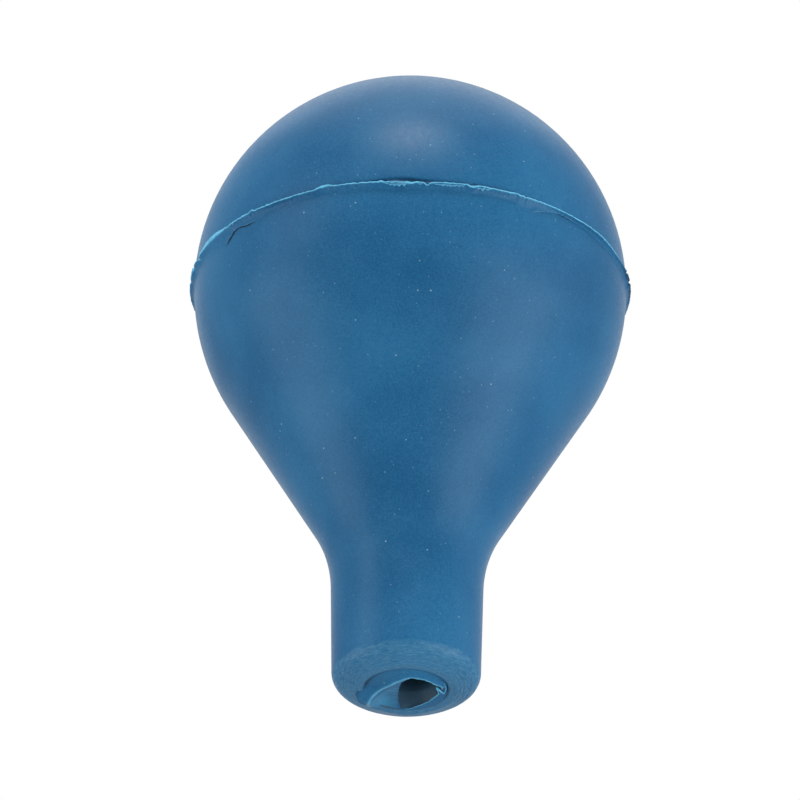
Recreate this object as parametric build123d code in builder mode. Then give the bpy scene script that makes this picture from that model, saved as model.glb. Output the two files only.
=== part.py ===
from build123d import *

import os
from math import cos, radians, sin, tan

# Rubber squeeze bulb of about 60 mL: a hemispherical dome moulded onto a funnel-shaped
# lower half whose neck grips a glass tube. The bulb's axis is Z, with the neck pointing
# down. The origin is the centre of the mouth, in the plane of the lip that the bulb
# stands on. Millimetres.

# Driving dimensions
BULB_RADIUS = 26.0         # outside of the bulb at the seam, and of the dome
BULGE_RADIUS = 26.6        # arc of the bulge below the seam, fuller than the dome's
WALL = 2.5                 # rubber thickness of the dome and the funnel
SEAM_HEIGHT = 54.5         # above the lip
TAPER_ANGLE = 30.0         # funnel wall against the bulb's axis, in degrees
SHOULDER_RADIUS = 18.0     # hollow sweep from the funnel into the neck
NECK_RADIUS = 8.9          # at its end
NECK_DRAFT_ANGLE = 1.0     # the neck widens upwards by this, in degrees
END_ROUNDING = 1.9         # outer edge of the neck's end face
END_CROWN_ANGLE = 18.0     # the end face rises this steeply outwards from the lip
LIP_RADIUS = 6.2           # flat ring around the mouth
MOUTH_RADIUS = 5.1         # wide end of the lead-in
BORE_RADIUS = 4.0          # grips an 8 mm tube
LEAD_IN_LENGTH = 2.0       # depth over which the mouth narrows to the bore
BORE_FLARE_RADIUS = 6.0    # rounding where the bore opens into the air chamber
FIN_PROUD = 0.6            # how far the mould flash stands out of the bulb
FIN_ROOT = 1.0             # how deep the flash is rooted in the seam
FIN_THICKNESS = 0.4
FILM_THICKNESS = 0.3       # torn film left in the mouth
FILM_DEPTH = 0.3           # film's underside above the lip
FILM_BORE_GAP = 0.15       # film's inner edge outside the bore
FILM_ARC = 230.0           # part of the circle where the film is left, in degrees
FILM_START_ANGLE = 110.0   # from +X towards +Y

# Worked out from the dimensions above
inner_radius = BULB_RADIUS - WALL
bulge_centre = (BULB_RADIUS - BULGE_RADIUS, SEAM_HEIGHT)
funnel_slope = tan(radians(TAPER_ANGLE))
neck_slope = tan(radians(NECK_DRAFT_ANGLE))
bulge_low_radius = bulge_centre[0] + BULGE_RADIUS * cos(radians(TAPER_ANGLE))
bulge_low_height = SEAM_HEIGHT - BULGE_RADIUS * sin(radians(TAPER_ANGLE))
end_edge_height = (NECK_RADIUS - LIP_RADIUS) * tan(radians(END_CROWN_ANGLE))
neck_top_height = (
    NECK_RADIUS - end_edge_height * neck_slope - bulge_low_radius + bulge_low_height * funnel_slope
) / (funnel_slope - neck_slope)
neck_top_radius = NECK_RADIUS + (neck_top_height - end_edge_height) * neck_slope
fin_root_radius = BULB_RADIUS - FIN_ROOT
fin_low = SEAM_HEIGHT - FIN_THICKNESS / 2
fin_high = SEAM_HEIGHT + FIN_THICKNESS / 2

os.makedirs("parts", exist_ok=True)

# Lower half: bulge, straight funnel, hollow shoulder and thick-walled neck, drawn as one
# wall section and turned about the axis. Its top edge is rebated for the flash.
with BuildPart() as lower_half:
    with BuildSketch(Plane.XZ) as section:
        with BuildLine():
            bulge = CenterArc(bulge_centre, BULGE_RADIUS, 0, -TAPER_ANGLE)
            inner_bulge = CenterArc(bulge_centre, BULGE_RADIUS - WALL, 0, -TAPER_ANGLE)
            Line(bulge @ 0, inner_bulge @ 0)
            chamber_low = inner_bulge @ 1
            bore_top = (BORE_RADIUS, chamber_low.Y - (chamber_low.X - BORE_RADIUS) / funnel_slope)
            neck_top = (neck_top_radius, neck_top_height)
            neck_end = (NECK_RADIUS, end_edge_height)
            Polyline(
                bulge @ 1,
                neck_top,
                neck_end,
                (LIP_RADIUS, 0),
                (MOUTH_RADIUS, 0),
                (BORE_RADIUS, LEAD_IN_LENGTH),
                bore_top,
                chamber_low,
            )
        make_face()
        for corner, rounding in (
            (neck_top, SHOULDER_RADIUS),
            (neck_end, END_ROUNDING),
            (bore_top, BORE_FLARE_RADIUS),
        ):
            fillet(section.vertices().sort_by_distance(corner)[0], rounding)
        with Locations((fin_root_radius, fin_low)):
            Rectangle(
                FIN_ROOT, FIN_THICKNESS, align=(Align.MIN, Align.MIN), mode=Mode.SUBTRACT
            )
    revolve(axis=Axis.Z)

# Dome half: the hemispherical shell, with the matching rebate in its edge.
with BuildPart() as dome_half:
    with BuildSketch(Plane.XZ):
        with BuildLine():
            outside = CenterArc((0, SEAM_HEIGHT), BULB_RADIUS, 0, 90)
            inside = CenterArc((0, SEAM_HEIGHT), inner_radius, 90, -90)
            Line(outside @ 1, inside @ 0)
            Line(inside @ 1, outside @ 0)
        make_face()
        with Locations((fin_root_radius, fin_high)):
            Rectangle(
                FIN_ROOT, FIN_THICKNESS, align=(Align.MIN, Align.MAX), mode=Mode.SUBTRACT
            )
    revolve(axis=Axis.Z)

# Seam flash: the thin fin of rubber squeezed out between the mould halves.
with BuildPart() as seam_flash:
    with BuildSketch(Plane.XZ):
        with Locations((fin_root_radius, fin_low)):
            Rectangle(FIN_ROOT + FIN_PROUD, FIN_THICKNESS, align=(Align.MIN, Align.MIN))
    revolve(axis=Axis.Z)

# Mouth flash: the torn film around part of the mouth. Its outer edge follows the lead-in,
# and its inner edge stays clear of the bore, so a tube still goes in.
lead_in_slope = (MOUTH_RADIUS - BORE_RADIUS) / LEAD_IN_LENGTH
film_top = FILM_DEPTH + FILM_THICKNESS
film_inner_radius = BORE_RADIUS + FILM_BORE_GAP
with BuildPart() as mouth_flash:
    with BuildSketch(Plane.XZ.rotated((0, 0, FILM_START_ANGLE))):
        with BuildLine():
            Polyline(
                (film_inner_radius, FILM_DEPTH),
                (MOUTH_RADIUS - FILM_DEPTH * lead_in_slope, FILM_DEPTH),
                (MOUTH_RADIUS - film_top * lead_in_slope, film_top),
                (film_inner_radius, film_top),
                close=True,
            )
        make_face()
    revolve(axis=Axis.Z, revolution_arc=FILM_ARC)

for name, piece in {
    "lower_half": lower_half,
    "dome_half": dome_half,
    "seam_flash": seam_flash,
    "mouth_flash": mouth_flash,
}.items():
    piece.part.label = name
    export_step(piece.part, f"parts/{name}.step")
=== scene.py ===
from math import asin, cos, pi, radians, sin, tan

import bmesh
import bpy
import numpy as np
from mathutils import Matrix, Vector


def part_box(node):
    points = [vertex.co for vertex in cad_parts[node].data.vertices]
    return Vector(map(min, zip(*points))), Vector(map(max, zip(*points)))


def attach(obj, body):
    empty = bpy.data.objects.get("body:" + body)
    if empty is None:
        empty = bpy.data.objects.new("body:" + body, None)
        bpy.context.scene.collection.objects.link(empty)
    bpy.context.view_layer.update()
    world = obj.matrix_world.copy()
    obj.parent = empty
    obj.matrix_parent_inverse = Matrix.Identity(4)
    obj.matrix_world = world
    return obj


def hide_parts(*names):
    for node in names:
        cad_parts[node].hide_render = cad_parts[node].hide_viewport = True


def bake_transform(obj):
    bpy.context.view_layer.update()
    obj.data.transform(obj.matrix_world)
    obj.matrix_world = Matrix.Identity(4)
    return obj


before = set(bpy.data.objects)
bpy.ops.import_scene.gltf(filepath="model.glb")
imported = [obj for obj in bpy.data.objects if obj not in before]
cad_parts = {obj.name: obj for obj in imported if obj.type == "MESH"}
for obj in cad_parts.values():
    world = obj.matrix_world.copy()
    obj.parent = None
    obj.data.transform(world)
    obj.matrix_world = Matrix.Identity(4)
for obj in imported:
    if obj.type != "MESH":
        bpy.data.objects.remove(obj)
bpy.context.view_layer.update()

# ---------------------------------------------------------------------------------------
# Sizes. Everything is in metres; MM turns the millimetres of the design into metres.
# ---------------------------------------------------------------------------------------
MM = 0.001
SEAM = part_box("lower_half")[1].z
BULB_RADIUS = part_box("dome_half")[1].z - SEAM
BULGE_RADIUS = 26.6 * MM      # arc of the bulge below the seam
WALL = 2.5 * MM
TAPER = radians(30)           # funnel wall against the axis
SHOULDER_RADIUS = 18.0 * MM   # hollow sweep from the funnel into the neck
NECK_RADIUS = 8.9 * MM
NECK_DRAFT = radians(1)
END_ROUNDING = 1.9 * MM
END_CROWN = radians(18)
LIP_RADIUS = 6.2 * MM
MOUTH_RADIUS = 5.1 * MM
BORE_RADIUS = 4.0 * MM
LEAD_IN = 2.0 * MM
FLARE_RADIUS = 6.0 * MM
INNER_RADIUS = BULB_RADIUS - WALL
WOBBLE = 0.02 * MM            # slight unevenness of the moulded walls
KNIFE_DEPTH = 0.022 * MM      # of the cuts on the end face

SHELL_SEGMENTS = 480
DOME_SEGMENTS = 720
FIN_SEGMENTS = 2160
FILM_SEGMENTS = 220

rng = np.random.default_rng(7)


# ---------------------------------------------------------------------------------------
# Small mesh tools
# ---------------------------------------------------------------------------------------
def bump(angle, centre, half_width):
    """1 at centre, falling smoothly to 0 at half_width on either side. Degrees."""
    away = np.abs((angle - centre + 180) % 360 - 180) / half_width
    return np.where(away < 1, 0.5 + 0.5 * np.cos(pi * away), 0)


def ragged(angle, slowest, fastest, count):
    """An uneven curve around the axis, about -1 to 1, that closes on itself."""
    total = np.zeros_like(angle)
    for wave in rng.integers(slowest, fastest, count):
        total += np.sin(np.radians(angle) * wave + rng.uniform(0, 2 * pi))
    return total / np.sqrt(count)


def smooth(x, low, high):
    """0 below low and 1 above high, with a smooth rise between them."""
    t = np.clip((x - low) / (high - low), 0, 1)
    return t * t * (3 - 2 * t)


def shaped(angle, level, steps, bumps):
    """A level with smooth steps, each as (start, end, change), and bumps, each as
    (centre, half width, change), around the axis."""
    for start, end, change in steps:
        level = level + change * smooth(angle, start, end)
    for centre, half_width, change in bumps:
        level = level + change * bump(angle, centre, half_width)
    return level


def run(start, end, steps):
    """Evenly spaced points from start up to, but not including, end."""
    t = np.arange(steps)[:, None] / steps
    return np.array(start) + (np.array(end) - np.array(start)) * t


def arc(centre, radius, first, last, steps):
    """Points on an arc, without its last point. Angles in radians, from +r towards +z."""
    a = first + (last - first) * np.arange(steps) / steps
    return np.stack([centre[0] + radius * np.cos(a), centre[1] + radius * np.sin(a)], 1)


def rounded_path(corners):
    """Points along straight lines from corner to corner. Each corner is its place, its
    rounding, the steps on the rounding and the steps on the line that follows."""
    places = [np.array(c[0], dtype=float) for c in corners]
    pieces, start = [], places[0]
    for i in range(1, len(corners)):
        steps = corners[i - 1][3]
        rounding = corners[i][1]
        if rounding == 0:
            pieces.append(run(start, places[i], steps))
            start = places[i]
            continue
        back, ahead = places[i - 1] - places[i], places[i + 1] - places[i]
        back, ahead = back / np.hypot(*back), ahead / np.hypot(*ahead)
        half = np.arccos(back @ ahead) / 2
        first = places[i] + back * rounding / tan(half)
        last = places[i] + ahead * rounding / tan(half)
        middle = (back + ahead) / np.hypot(*(back + ahead))
        centre = places[i] + middle * rounding / sin(half)
        a0 = np.arctan2(*(first - centre)[::-1])
        a1 = np.arctan2(*(last - centre)[::-1])
        turn = (a1 - a0 + pi) % (2 * pi) - pi
        pieces.append(run(start, first, steps))
        pieces.append(arc(centre, rounding, a0, a0 + turn, corners[i][2]))
        start = last
    return np.concatenate(pieces)


def flowing(places, steps, softness):
    """A curve past a few places, with steps from each to the next and its corners
    rounded off. It keeps its first and last place."""
    places = np.array(places)
    count = len(places) - 1
    along = np.linspace(0, count, steps * count + 1)
    curve = np.stack([np.interp(along, np.arange(count + 1), column) for column in places.T], 1)
    for _ in range(softness):
        curve[1:-1] = (curve[:-2] + 2 * curve[1:-1] + curve[2:]) / 4
    return curve


def turned(profile, segments):
    """A grid of points, rows along the profile and columns around the axis."""
    a = np.radians(np.arange(segments) * 360 / segments)
    r, z = profile[:, :1], profile[:, 1:]
    return np.stack([r * np.cos(a), r * np.sin(a), z + 0 * a], 2)


def grid_object(name, points, close_rows=True, **values):
    """A mesh from a grid of points that closes around its columns. values are numbers
    for each point, kept on the mesh for its material."""
    rows, columns = points.shape[:2]
    index = np.arange(rows * columns).reshape(rows, columns)
    lower = index if close_rows else index[:-1]
    upper = np.roll(index, -1, 0) if close_rows else index[1:]
    quads = np.stack(
        [lower, np.roll(lower, -1, 1), np.roll(upper, -1, 1), upper], 2
    ).reshape(-1, 4)
    mesh = bpy.data.meshes.new(name)
    mesh.from_pydata(points.reshape(-1, 3).tolist(), [], quads.tolist())
    for key, value in values.items():
        layer = mesh.attributes.new(key, "FLOAT", "POINT")
        numbers = np.broadcast_to(value, index.shape).astype(np.float32)
        layer.data.foreach_set("value", numbers.ravel())
    mesh.polygons.foreach_set("use_smooth", [True] * len(mesh.polygons))
    mesh.update()
    piece = bpy.data.objects.new(name, mesh)
    bpy.context.scene.collection.objects.link(piece)
    return piece


def weld(piece):
    """Joins points that lie in one place, as they do at a pole or a pointed end."""
    shape = bmesh.new()
    shape.from_mesh(piece.data)
    bmesh.ops.remove_doubles(shape, verts=shape.verts, dist=1e-7)
    shape.to_mesh(piece.data)
    shape.free()


def push_out(points, distance):
    """Moves a grid's points away from the axis by distance, one number per point."""
    radius = np.hypot(points[..., 0], points[..., 1])
    scale = 1 + distance / np.maximum(radius, 1e-9)
    points[..., 0] *= scale
    points[..., 1] *= scale


# ---------------------------------------------------------------------------------------
# Lower half: bulge, funnel, shoulder, neck, end face, mouth and bore, in one closed skin
# ---------------------------------------------------------------------------------------
def lower_profile():
    """The wall's outside and inside, from the seam down to the mouth and back up."""
    centre = (BULB_RADIUS - BULGE_RADIUS, SEAM)
    close = asin(3 * MM / BULGE_RADIUS)
    low = (centre[0] + BULGE_RADIUS * cos(TAPER), SEAM - BULGE_RADIUS * sin(TAPER))
    inner_low = (low[0] - WALL * cos(TAPER), low[1] + WALL * sin(TAPER))
    neck_end = (NECK_RADIUS, (NECK_RADIUS - LIP_RADIUS) * tan(END_CROWN))
    slope, draft = tan(TAPER), tan(NECK_DRAFT)
    neck_top_z = (NECK_RADIUS - neck_end[1] * draft - low[0] + low[1] * slope) / (slope - draft)
    neck_top = (NECK_RADIUS + (neck_top_z - neck_end[1]) * draft, neck_top_z)
    bore_top = (BORE_RADIUS, inner_low[1] - (inner_low[0] - BORE_RADIUS) / slope)
    outside = np.concatenate([
        arc(centre, BULGE_RADIUS, 0, -close, 10),
        arc(centre, BULGE_RADIUS, -close, -TAPER, 15),
        rounded_path([
            (low, 0, 0, 18),
            (neck_top, SHOULDER_RADIUS, 14, 12),
            (neck_end, END_ROUNDING, 14, 26),
            ((LIP_RADIUS, 0), 0, 0, 12),
            ((MOUTH_RADIUS, 0), 0, 0, 0),
        ]),
    ])
    inside = np.concatenate([
        rounded_path([
            ((MOUTH_RADIUS, 0), 0, 0, 10),
            ((BORE_RADIUS, LEAD_IN), 0, 0, 10),
            (bore_top, FLARE_RADIUS, 6, 16),
            (inner_low, 0, 0, 0),
        ]),
        arc(centre, BULGE_RADIUS - WALL, -TAPER, 0, 12),
        run((INNER_RADIUS, SEAM), (BULB_RADIUS, SEAM), 3),
    ])
    return outside, inside


def make_lower():
    outer_wall, inner_wall = lower_profile()
    points = turned(np.concatenate([outer_wall, inner_wall]), SHELL_SEGMENTS)
    angle = np.arange(SHELL_SEGMENTS)[None, :] * 360 / SHELL_SEGMENTS + 0 * points[..., 0]
    radius = np.hypot(points[..., 0], points[..., 1])
    height = points[..., 2]
    outside = np.zeros(points.shape[:2])
    outside[: len(outer_wall)] = 1
    wobble = ragged(angle, 2, 7, 5) * WOBBLE * smooth(height, 3 * MM, 12 * MM)
    push_out(points, wobble * outside)

    # Concentric cuts left on the end face by the trimming knife
    face = outside * smooth(9.0 * MM - radius, 0, 0.25 * MM) * (height < 2 * MM)
    face *= smooth(radius, MOUTH_RADIUS, MOUTH_RADIUS + 0.3 * MM)
    wave = np.sin(radius / (0.10 * MM) + 2 * np.sin(np.radians(angle) + 1))
    wave += 0.7 * np.sin(radius / (0.063 * MM) + 3 * np.sin(2 * np.radians(angle)))
    strength = smooth(ragged(angle[0], 1, 6, 4), -0.9, 1.0)[None, :]
    points[..., 2] += face * wave * strength * KNIFE_DEPTH
    piece = grid_object("lower_shell", points, end_face=face, dust=1 - outside)
    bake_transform(piece)
    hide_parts("lower_half")
    return piece


# ---------------------------------------------------------------------------------------
# Dome half
# ---------------------------------------------------------------------------------------
# Where the dome is nipped in just above the flash, as (centre, half width, depth) in degrees
# around the axis and millimetres; the depth also sets how dark the nip's painted shade is. The nip
# is deepest at the front right.
NIP_DEPTH = 0.10
NIPS = (
    (250, 4, 0.14), (262, 3, 0.12), (270, 8, 0.16), (292, 11, 0.22), (318, 16, 0.08),
)


def make_dome():
    start = asin(2 * MM / BULB_RADIUS)
    outer_wall = np.concatenate([
        arc((0, SEAM), BULB_RADIUS, pi / 2, start, 34),
        arc((0, SEAM), BULB_RADIUS, start, 0, 22),
        [(BULB_RADIUS, SEAM)],
    ])
    profile = np.concatenate([
        outer_wall,
        run((BULB_RADIUS, SEAM), (INNER_RADIUS, SEAM), 3)[1:],
        arc((0, SEAM), INNER_RADIUS, 0, pi / 2, 20),
        [(0, SEAM + INNER_RADIUS)],
    ])
    points = turned(profile, DOME_SEGMENTS)
    outside = np.zeros(points.shape[:2])
    outside[: len(outer_wall)] = 1
    angle = np.arange(DOME_SEGMENTS)[None, :] * 360 / DOME_SEGMENTS + 0 * points[..., 0]
    above = points[..., 2] - SEAM
    depth = shaped(angle, NIP_DEPTH, (), NIPS)
    # The nip climbs a little above the tear
    level = (0.40 + 0.25 * bump(angle, 267, 8)) * MM
    nip = np.exp(-(((above - level) / (0.22 * MM)) ** 2)) * depth * MM
    wobble = ragged(angle, 2, 6, 5) * WOBBLE * smooth(BULB_RADIUS - above, 2 * MM, 14 * MM)
    push_out(points, (wobble - nip) * outside)
    # Painted shade in the nip, darkest where it is deepest
    crack = nip / (0.35 * MM) * outside
    piece = grid_object("dome_shell", points, close_rows=False, crack=crack)
    weld(piece)
    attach(piece, "dome_body")
    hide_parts("dome_half")
    return piece


# ---------------------------------------------------------------------------------------
# Seam flash: a thin ragged fin that flares out of the bulge, bent down and torn in front
# ---------------------------------------------------------------------------------------
# Everything here is in degrees around the axis and in millimetres. The fin's root is level
# but for two laps, at the front left and the front right, whose curved edges stand off the
# bulge by a gap.
ROOT_DEPTH = 0.9
ROOT_STEPS = (
    (196, 207, 1.1), (209, 217, -1.1), (297, 301, 0.8), (299, 314, -1.6), (324, 333, 0.4),
    (350, 359, 0.4),
)
ROOT_BUMPS = ((217.5, 4.5, -0.35), (231.5, 9, -0.55))
GAP_STEPS = (
    (220, 223, 0.03), (233, 236, -0.03), (303, 305.5, 0.13), (311, 320, -0.09), (332, 336, -0.04),
)
GAP_BUMPS = ((214.5, 4.0, 0.17), (220, 5.5, 0.13))


# How high above the seam the fin's edge runs, with its droop at the front and its bends
FIN_LIFT = 0.24
FIN_DROOP = (270.5, 22, -0.28)
FIN_BENDS = (
    FIN_DROOP, (205, 10, 0.26), (224, 1.2, 0.17), (247, 4, 0.24), (262, 1.2, 0.10),
    (270, 1.2, -0.14), (274, 1.7, -0.24), (286, 2.0, -0.22), (298, 2.2, 0.12), (189, 5, 0.2),
)
# How thick its edge is, with its lumps
FIN_THICKNESS = 0.13
FIN_LUMPS = (
    (205, 11, 0.44), (187, 6, 0.30), (247, 3, 0.16), (269, 5, 0.12), (286, 2.2, 0.16),
    (262, 1.2, 0.10),
)
# How far it stands out of the bulge, with its nicks and the worn stretch at the far right
FIN_PROUD = 0.55
FIN_NICKS = (
    (195.2, 1.3, -0.40), (189.5, 1.6, -0.16), (183, 1.6, -0.14), (274.2, 0.9, -0.25),
    (267.5, 1.4, -0.18), (256, 0.6, -0.12), (291, 0.5, -0.12), (301, 0.6, -0.12),
    (230, 0.5, -0.10), (214, 0.8, -0.14), (355, 1.2, -0.25), (342, 14, -0.26), (350, 1.0, -0.12),
)
FIN_LEAST = 0.08


def make_fin():
    angle = np.arange(FIN_SEGMENTS) * 360 / FIN_SEGMENTS
    proud = FIN_PROUD + 0.025 * ragged(angle, 6, 24, 6) + 0.018 * ragged(angle, 70, 400, 40)
    lift = FIN_LIFT + 0.03 * ragged(angle, 5, 14, 4) + 0.022 * ragged(angle, 40, 260, 30)
    thick = FIN_THICKNESS + 0.03 * ragged(angle, 30, 300, 40)
    proud = np.maximum(shaped(angle, proud, (), FIN_NICKS), FIN_LEAST)
    lift = shaped(angle, lift, (), FIN_BENDS)
    thick = np.maximum(shaped(angle, thick, (), FIN_LUMPS), FIN_LEAST)
    root = shaped(angle, ROOT_DEPTH, ROOT_STEPS, ROOT_BUMPS) + 0.015 * ragged(angle, 60, 260, 30)
    gap = shaped(angle, 0, GAP_STEPS, GAP_BUMPS) * (1 + 0.12 * ragged(angle, 50, 250, 30))
    gap = np.maximum(gap, 0)
    opened = np.clip(gap / 0.08, 0, 1)

    # The section, in millimetres out from the bulge and up from the seam: inside the wall, along
    # the crack under the lap's edge, over the hollow underside to the tip, and back into the seam.
    # Each row's third number is painted light, at the lap's edge and rising to the tip's edge, and
    # its fourth is painted shade, along the crack and where the fin's back meets the dome.
    none, one = np.zeros_like(angle), np.ones_like(angle)
    section = [
        (-0.60 * one, -root + 0.30, 0, none),
        (0.07 * opened - 0.06, -root - 1.1 * gap, 0, 0.7 * opened),
        (0.08 * opened - 0.06, -root - 0.9 * gap, 0, opened),
        (0.08 * opened - 0.06, -root + 0.02, 0, opened),
        (gap - 0.05, -root + 0.02 * opened, 0, opened),
        (gap - 0.01, -root + 0.03 * opened, 0.15 * opened, none),
    ]
    low = lift - thick / 2
    base = gap - 0.03 * (1 - opened)
    for share, thin in (
        (0.2, 0), (0.4, 0), (0.58, 0), (0.74, 0), (0.87, 0), (0.965, 0.12), (1.0, 1),
    ):
        out = base + (proud - base) * share**2.4
        section.append((out, -root * (1 - share) + low * share, thin, none))
    section += [
        (proud, lift + thick * 0.4, 1, none),
        (0.95 * proud, lift + thick / 2, 0.5, none),
        (0.55 * proud, 0.75 * lift + 0.35 * thick + 0.03, 0.1, none),
        (0.0 * one, 0.16 * one, 0, 0.6 * one),
        (-0.8 * one, 0.16 * one, 0, none),
    ]
    # The tip's painted light fades towards the far right, where the fin is thinnest, and there
    # painted shade darkens the fin above the seam
    lit = 1 - 0.9 * bump(angle, 354, 22)
    shaded = 0.8 * bump(angle, 356, 18)
    a = np.radians(angle)
    rows, thinness, darkness = [], [], []
    for out, up, thin, dark in section:
        drop = np.maximum(-up, 0) * MM
        bulge = BULB_RADIUS - BULGE_RADIUS + np.sqrt(BULGE_RADIUS**2 - drop**2)
        r = bulge + out * MM
        rows.append(np.stack([r * np.cos(a), r * np.sin(a), SEAM + up * MM], 1))
        thinness.append(thin * lit)
        darkness.append(np.maximum(dark, shaded * (up > 0)))
    piece = grid_object(
        "seam_fin", np.array(rows), thin=np.array(thinness), crack=np.array(darkness)
    )
    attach(piece, "dome_body")
    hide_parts("seam_flash")
    return piece


def make_tear():
    """Wisps that hang from the fin where it is torn."""
    angle = np.linspace(258, 296, 720)
    length = 0.42 * bump(angle, 266.5, 5) + 0.30 * bump(angle, 280, 7)
    length += 0.34 * bump(angle, 288.5, 4) + 0.16 * bump(angle, 272.5, 2)
    length *= 1 + 0.3 * ragged(angle, 60, 400, 30)
    faded = smooth(length, 0.02, 0.10)
    length = np.maximum(length, 0.005)
    centre, half_width, droop = FIN_DROOP
    top = FIN_LIFT + droop * bump(angle, centre, half_width) - 0.05
    a = np.radians(angle)
    rows = []
    for out, up in (
        (0.20 + 0 * a, top - 0.02), (0.48 * faded + 0.02, top - 0.25 * length),
        (0.42 * faded + 0.02, top - length), (0.34 * faded, top - length - 0.02),
        (0.30 * faded, top - 0.6 * length), (0.05 + 0 * a, top),
    ):
        r = BULB_RADIUS + out * MM
        rows.append(np.stack([r * np.cos(a), r * np.sin(a), SEAM + up * MM], 1))
    points = np.array(rows).transpose(1, 0, 2)
    # The wisps' paleness is painted light through the slim rubber, strongest near their tips
    thin = np.stack([0 * a, 0.05 * faded, 0.75 * faded, 0.5 * faded, 0 * a, 0 * a], 1)
    piece = grid_object("seam_tear", points, close_rows=False, thin=thin)
    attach(piece, "dome_body")
    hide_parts("seam_flash")
    return piece


# ---------------------------------------------------------------------------------------
# Mouth flash: a torn film across the mouth, with an opening off to one side
# ---------------------------------------------------------------------------------------
# Everything here is in millimetres. Places that the opening's edge, the ridge on which the
# film stands out and the curl at its end pass
OPENING_CENTRE = (1.7, 1.2)
OPENING = (
    (4.3, -1.0), (4.1, 1.0), (2.8, 3.0), (0.4, 5.0), (-0.8, 5.0), (-1.0, 1.5), (-0.7, -1.5),
    (0.4, -3.5), (2.2, -3.0), (4.3, -1.0),
)
RIDGE = (
    (-2.8, 5.3), (-4.6, 4.3), (-4.4, 1.6), (-2.0, -1.3), (0.2, -3.6), (2.2, -3.0), (4.3, -1.0),
)
CURL = (
    (2.7, 2.9, 0), (4.0, 0.5, -0.25), (3.5, -1.2, -0.25), (4.5, 0.6, -0.25), (4.8, -0.5, -0.1),
    (4.5, -1.7, 0.05),
)


FILM_RIM = 5.12          # the film's edge in the mouth
FOLD_REACH = 1.0         # further than that, where it folds out over the end face
FOLD_HEIGHT = 0.46       # below the lip, as the ridge's
RIDGE_HEIGHT = 0.34
TUCK_DEPTH = 0.36        # above the lip, in the mouth, as the pocket's
POCKET_DEPTH = 0.55


def distance_to_line(x, y, line):
    """The distance of each point from the nearest stretch of a line of places."""
    best = np.full(x.shape, np.inf)
    for (ax, ay), (bx, by) in zip(line, line[1:]):
        length = (bx - ax) ** 2 + (by - ay) ** 2
        t = np.clip(((x - ax) * (bx - ax) + (y - ay) * (by - ay)) / length, 0, 1)
        best = np.minimum(best, np.hypot(x - ax - t * (bx - ax), y - ay - t * (by - ay)))
    return best


def make_film():
    steps = 30   # from the mouth's rim to the opening's edge
    cx, cy = OPENING_CENTRE
    turn = np.arange(FILM_SEGMENTS) * 360 / FILM_SEGMENTS
    ox, oy = flowing(OPENING, 12, 20).T
    hole_angle = np.degrees(np.arctan2(oy - cy, ox - cx)) % 360
    hole_radius = np.hypot(ox - cx, oy - cy)
    order = np.argsort(hole_angle)
    hole = np.interp(turn, hole_angle[order], hole_radius[order], period=360)
    hole = hole + 0.05 * ragged(turn, 12, 60, 8)
    ex, ey = np.cos(np.radians(turn)), np.sin(np.radians(turn))
    # The rim of the mouth, seen from the opening's centre, bulges out under the fold
    rim_angle = np.degrees(np.arctan2(cy + 3 * ey, cx + 3 * ex))
    fold = bump(rim_angle, 128, 40)
    rim = FILM_RIM + FOLD_REACH * fold
    along = cx * ex + cy * ey
    outer = -along + np.sqrt(along**2 + rim**2 - cx**2 - cy**2)
    outer = np.maximum(outer, hole + 0.08)
    t = np.linspace(0, 1, steps)[:, None] ** 0.8
    reach = outer + (hole - outer) * t
    x, y = cx + reach * ex, cy + reach * ey
    # Tucked in at the mouth's rim, but for the fold that lies over the end face; standing
    # out along the ridge; and dished in the pocket between the ridge and the opening
    tucked = TUCK_DEPTH * smooth(2.5 - y, 0, 3)
    z = (tucked - FOLD_HEIGHT * fold) * (1 - t) ** 2
    to_ridge = distance_to_line(x, y, flowing(RIDGE, 8, 12))
    z = z - RIDGE_HEIGHT * np.exp(-((to_ridge / 0.55) ** 2)) * smooth(t, 0, 0.25)
    z = z + POCKET_DEPTH * np.exp(-(((x + 2.1) / 1.3) ** 2 + ((y - 2.6) / 2.2) ** 2))
    z = z + 0.02 * ragged(turn, 8, 30, 6) * smooth(t, 0.2, 0.9)
    thickness = 0.15 - 0.07 * t
    outer_skin = np.stack([x, y, z], 2) * MM
    inner_skin = np.stack([x, y, z + thickness], 2) * MM
    points = np.concatenate([outer_skin, inner_skin[::-1]])
    # Painted light: paler along the free edge, along the ridge and over the pocket, for light
    # through the slim film and on its edges, and paler still near the pocket's far corner
    edge = smooth(t, 0.93, 1.0) * smooth(x, -0.5, 0.3)
    thin = np.clip(edge + 0.7 * np.exp(-((to_ridge / 0.16) ** 2)), 0, 1)
    pocket = smooth(y + 1.1 * x, -2.3, -1.6) * smooth(-x, 0.7, 1.5)
    pocket_glow_spot = smooth(np.hypot(x + 3, y - 3.4), 1.6, 0.4)
    thin = np.maximum(thin, (0.16 + 0.10 * pocket_glow_spot) * pocket)
    # Painted shade in the crease where the film tucks into the mouth's rim, on the outer skin, on
    # the near side and away from the fold
    rim_crease_shade = smooth(1 - t, 0.80, 1.0) * (1 - fold) * smooth(3 - y, 0, 2)
    piece = grid_object(
        "mouth_film", points,
        thin=np.concatenate([thin, thin[::-1]]), crack=np.concatenate([rim_crease_shade, 0 * rim_crease_shade]),
    )
    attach(piece, "neck_body")
    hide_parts("mouth_flash")
    return piece


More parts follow.
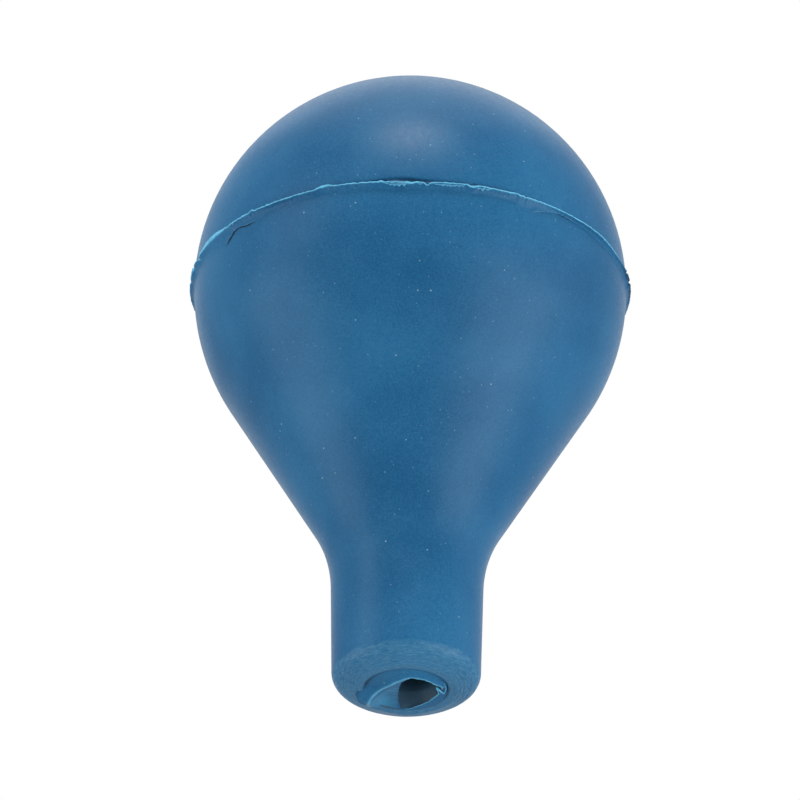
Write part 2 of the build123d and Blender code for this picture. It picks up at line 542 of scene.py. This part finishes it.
def make_curl():
    """The end of the film's free edge, curled up at the right of the opening."""
    places = flowing(CURL, 18, 22)
    ahead = np.gradient(places, axis=0)
    ahead /= np.linalg.norm(ahead, axis=1)[:, None]
    side = np.cross(ahead, (0, 0, 1))
    side /= np.linalg.norm(side, axis=1)[:, None]
    up = np.cross(side, ahead)
    taper = np.sqrt(np.sin(pi * np.linspace(0, 1, len(places))).clip(0))[:, None, None]
    turn = np.linspace(0, 2 * pi, 12, endpoint=False)[None, :, None]
    section = 0.07 * np.cos(turn) * side[:, None, :] + 0.13 * np.sin(turn) * up[:, None, :]
    points = (places[:, None, :] + section * taper) * MM
    # Pale all over, as painted light through the slim curled film
    piece = grid_object("mouth_curl", points, close_rows=False, thin=0.75)
    weld(piece)
    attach(piece, "neck_body")
    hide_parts("mouth_flash")
    return piece


# ---------------------------------------------------------------------------------------
# Materials
# ---------------------------------------------------------------------------------------
class Nodes:
    """A material's nodes, with short ways to add and join them."""

    def __init__(self, name):
        self.material = bpy.data.materials.new(name)
        self.material.use_nodes = True
        self.tree = self.material.node_tree
        self.shader = self.tree.nodes["Principled BSDF"]

    def add(self, kind, inputs=(), **settings):
        node = self.tree.nodes.new("ShaderNode" + kind)
        for key, value in settings.items():
            setattr(node, key, value)
        for key, value in dict(inputs).items():
            self.put(node.inputs[key], value)
        return node

    def put(self, socket, value):
        if isinstance(value, bpy.types.NodeSocket):
            self.tree.links.new(value, socket)
        else:
            socket.default_value = value

    def noise(self, place, scale, detail=3.0, roughness=0.5):
        return self.add(
            "TexNoise", {"Vector": place, "Scale": scale, "Detail": detail, "Roughness": roughness}
        ).outputs["Fac"]

    def ramp(self, value, low, high):
        """0 below low and 1 above high."""
        return self.add(
            "MapRange", {"Value": value, "From Min": low, "From Max": high}, clamp=True
        ).outputs["Result"]

    def math(self, kind, first, second):
        return self.add("Math", {0: first, 1: second}, operation=kind).outputs[0]

    def mix(self, amount, first, second):
        node = self.add("Mix", data_type="RGBA")
        self.put(node.inputs["Factor"], amount)
        self.put(node.inputs["A"], first)
        self.put(node.inputs["B"], second)
        return node.outputs["Result"]

    def attribute(self, name):
        return self.add("Attribute", attribute_name=name).outputs["Fac"]


DEEP_BLUE = (0.0060, 0.074, 0.178, 1)
PLAIN_BLUE = (0.0156, 0.119, 0.254, 1)
CHALK = (0.085, 0.22, 0.32, 1)          # bloom on the surface
CUT_FACE = (0.11, 0.27, 0.38, 1)        # scratches on the end face
INSIDE_GREY = (0.035, 0.075, 0.110, 1)         # inside the bulb
SPECK = (0.26, 0.42, 0.50, 1)
# Pale cyan for slim rubber: partly its abraded colour, partly painted light through it and on its
# edges
THIN_EDGE_GLOW = (0.13, 0.47, 0.70, 1)
# Near black, painted shade for cracks and creases
CRACK_SHADE = (0.002, 0.014, 0.038, 1)
SCRATCH_SPREAD = 0.9 * MM               # along a scratch, per radian


def rubber(name):
    """Blue rubber with a chalky bloom and specks. It is paler and scratched where cut at the end
    face, and dull inside the bulb. Painted light makes it paler where the mesh is slim, standing
    in for light through it and on its edges, which are also a little abraded; painted shade makes
    it dark in cracks and creases."""
    m = Nodes(name)
    place = m.add("TexCoord").outputs["Object"]
    fine = m.noise(place, 4200, 3, 0.7)
    broad = m.math("MULTIPLY", m.noise(place, 60, 3), 0.45)
    mottle = m.math("ADD", broad, m.math("MULTIPLY", fine, 0.55))
    colour = m.mix(m.ramp(mottle, 0.38, 0.62), DEEP_BLUE, PLAIN_BLUE)
    grain = m.ramp(m.noise(place, 1600, 4, 0.7), 0.36, 0.70)
    bloom = m.ramp(m.noise(place, 120, 5, 0.6), 0.35, 0.75)
    colour = m.mix(m.math("MULTIPLY", m.math("MULTIPLY", bloom, grain), 0.13), colour, CHALK)

    # Fine concentric scratches and a chalky grey on the end face
    axis = m.add("SeparateXYZ", {"Vector": place})
    x, y = axis.outputs["X"], axis.outputs["Y"]
    squares = m.math("ADD", m.math("MULTIPLY", x, x), m.math("MULTIPLY", y, y))
    radius = m.math("SQRT", squares, 0.0)
    around = m.math("MULTIPLY", m.math("ARCTAN2", y, x), SCRATCH_SPREAD)
    rings = m.add("CombineXYZ", {"X": radius, "Y": around}).outputs["Vector"]
    scratch = m.ramp(m.noise(rings, 8500, 3, 0.65), 0.36, 0.68)
    face = m.attribute("end_face")
    cut = m.math("ADD", m.math("MULTIPLY", scratch, 0.42), 0.01)
    colour = m.mix(m.math("MULTIPLY", face, cut), colour, CUT_FACE)

    # Greyer and darker over the lower half's inner wall
    dusty = m.math("MULTIPLY", m.attribute("dust"), 0.8)
    colour = m.mix(dusty, colour, INSIDE_GREY)

    # Specks, a few of the cells at each size
    for scale, size, rarity, strength in (
        (1250.0, 0.085, 0.50, 0.50), (800.0, 0.08, 0.66, 0.65),
    ):
        cells = m.add("TexVoronoi", {"Vector": place, "Scale": scale}, feature="F1")
        dots = m.math("LESS_THAN", cells.outputs["Distance"], size)
        tone = m.add("SeparateColor", {"Color": cells.outputs["Color"]})
        rare = m.math("GREATER_THAN", tone.outputs["Red"], rarity)
        faint = m.math("MULTIPLY", tone.outputs["Green"], strength)
        amount = m.math("MULTIPLY", m.math("MULTIPLY", dots, rare), faint)
        colour = m.mix(amount, colour, SPECK)

    # Painted light: pale where the rubber is slim, for light through it and on its edges, which
    # are also a little abraded. Painted shade: dark in cracks and creases
    uneven = m.ramp(m.noise(place, 900, 4, 0.6), 0.25, 0.75)
    paleness = m.math("ADD", m.math("MULTIPLY", uneven, 0.5), 0.5)
    thin = m.math("MULTIPLY", m.attribute("thin"), paleness)
    colour = m.mix(thin, colour, THIN_EDGE_GLOW)
    crack = m.math("MULTIPLY", m.attribute("crack"), 0.88)
    colour = m.mix(crack, colour, CRACK_SHADE)
    m.put(m.shader.inputs["Base Color"], colour)
    rough = m.add("MapRange", {"Value": grain, "To Min": 0.34, "To Max": 0.44}).outputs["Result"]
    m.put(m.shader.inputs["Roughness"], rough)
    m.put(m.shader.inputs["Specular IOR Level"], 0.13)
    height = m.math("ADD", m.math("MULTIPLY", fine, 0.6), m.noise(place, 420, 4))
    relief = m.add("Bump", {"Height": height, "Strength": 0.35, "Distance": 0.00004})
    m.put(m.shader.inputs["Normal"], relief.outputs["Normal"])
    return m.material


def floor_finish():
    m = Nodes("floor_finish")
    place = m.add("TexCoord").outputs["Object"]
    pale = m.mix(m.noise(place, 3, 2), (0.86, 0.86, 0.86, 1), (0.90, 0.90, 0.90, 1))
    m.put(m.shader.inputs["Base Color"], pale)
    m.put(m.shader.inputs["Roughness"], 0.9)
    return m.material


# ---------------------------------------------------------------------------------------
# Studio: floor, light and camera
# ---------------------------------------------------------------------------------------
CAMERA_DISTANCE = 2.5
CAMERA_ELEVATION = radians(-29.3)   # from below, so that the mouth shows
CAMERA_ROLL = radians(0.62)
VIEW_WIDTH = 96.0 * MM              # across the frame, at the bulb
SENSOR_WIDTH = 36.0                 # millimetres, as Blender's lens settings are
AIM = Vector((-1.09 * MM, 0, 39.5 * MM))
FLOOR_HEIGHT = -1.6
FLOOR_HALF = 6.0


def make_floor():
    corners = [(-1, -1), (1, -1), (1, 1), (-1, 1)]
    places = [(x * FLOOR_HALF, y * FLOOR_HALF, FLOOR_HEIGHT) for x, y in corners]
    mesh = bpy.data.meshes.new("studio_floor")
    mesh.from_pydata(places, [], [(0, 1, 2, 3)])
    floor = bpy.data.objects.new("studio_floor", mesh)
    bpy.context.scene.collection.objects.link(floor)
    mesh.materials.append(floor_finish())


def make_lamp(name, azimuth, elevation, width, height, brightness):
    """A soft box a metre from the bulb that faces it. Azimuth runs to the right from the
    camera's side. A brightness of 1 is that of the white surroundings."""
    data = bpy.data.lights.new(name, "AREA")
    data.shape = "RECTANGLE"
    data.size, data.size_y = width, height
    data.energy = brightness * pi * width * height
    lamp = bpy.data.objects.new(name, data)
    across, up = radians(azimuth), radians(elevation)
    away = Vector((sin(across) * cos(up), -cos(across) * cos(up), sin(up)))
    lamp.location = AIM + away
    lamp.rotation_euler = away.to_track_quat("Z", "Y").to_euler()
    bpy.context.scene.collection.objects.link(lamp)


def make_light():
    world = bpy.data.worlds.new("studio")
    world.use_nodes = True
    nodes, links = world.node_tree.nodes, world.node_tree.links
    # White behind the bulb as the photograph sees it, a little dimmer all around
    direction = nodes.new("ShaderNodeTexCoord").outputs["Generated"]
    along = nodes.new("ShaderNodeVectorMath")
    along.operation = "DOT_PRODUCT"
    along.inputs[1].default_value = (0, cos(CAMERA_ELEVATION), -sin(CAMERA_ELEVATION))
    white = nodes.new("ShaderNodeMapRange")
    white.interpolation_type = "SMOOTHSTEP"
    for key, value in (
        ("From Min", 0.80), ("From Max", 0.96), ("To Min", 0.53), ("To Max", 1.0),
    ):
        white.inputs[key].default_value = value
    links.new(direction, along.inputs[0])
    links.new(along.outputs["Value"], white.inputs["Value"])
    links.new(white.outputs["Result"], nodes["Background"].inputs["Strength"])
    nodes["Background"].inputs["Color"].default_value = (1, 1, 1, 1)
    bpy.context.scene.world = world
    make_lamp("left_box", -78, -20, 0.70, 0.90, 3.0)
    make_lamp("left_high", -60, 22, 0.50, 0.50, 2.9)
    make_lamp("right_box", 84, 0, 0.80, 0.80, 0.85)
    make_lamp("right_low", 75, -25, 0.40, 0.80, 4.4)
    make_lamp("right_strip", 49, -22, 0.40, 0.85, 3.6)
    make_lamp("top_box", 0, 61, 0.38, 0.30, 15.9)
    make_lamp("back_box", 180, 75, 0.90, 0.90, 0.95)


def make_camera():
    data = bpy.data.cameras.new("camera")
    data.sensor_width = SENSOR_WIDTH
    data.lens = SENSOR_WIDTH * CAMERA_DISTANCE / VIEW_WIDTH
    camera = bpy.data.objects.new("camera", data)
    away = Vector((0, -cos(CAMERA_ELEVATION), sin(CAMERA_ELEVATION)))
    camera.location = AIM + away * CAMERA_DISTANCE
    camera.rotation_euler = (-away).to_track_quat("-Z", "Y").to_euler()
    camera.rotation_euler.rotate_axis("Z", CAMERA_ROLL)
    bpy.context.scene.collection.objects.link(camera)
    bpy.context.scene.camera = camera


# ---------------------------------------------------------------------------------------
# The scene
# ---------------------------------------------------------------------------------------
bpy.context.scene.view_settings.view_transform = "Standard"
make_camera()
make_light()
make_floor()
body_rubber = rubber("blue_rubber")
flash_rubber = rubber("flash_rubber")
for piece in (make_lower(), make_dome()):
    piece.data.materials.append(body_rubber)
for piece in (make_fin(), make_tear(), make_film(), make_curl()):
    piece.data.materials.append(flash_rubber)
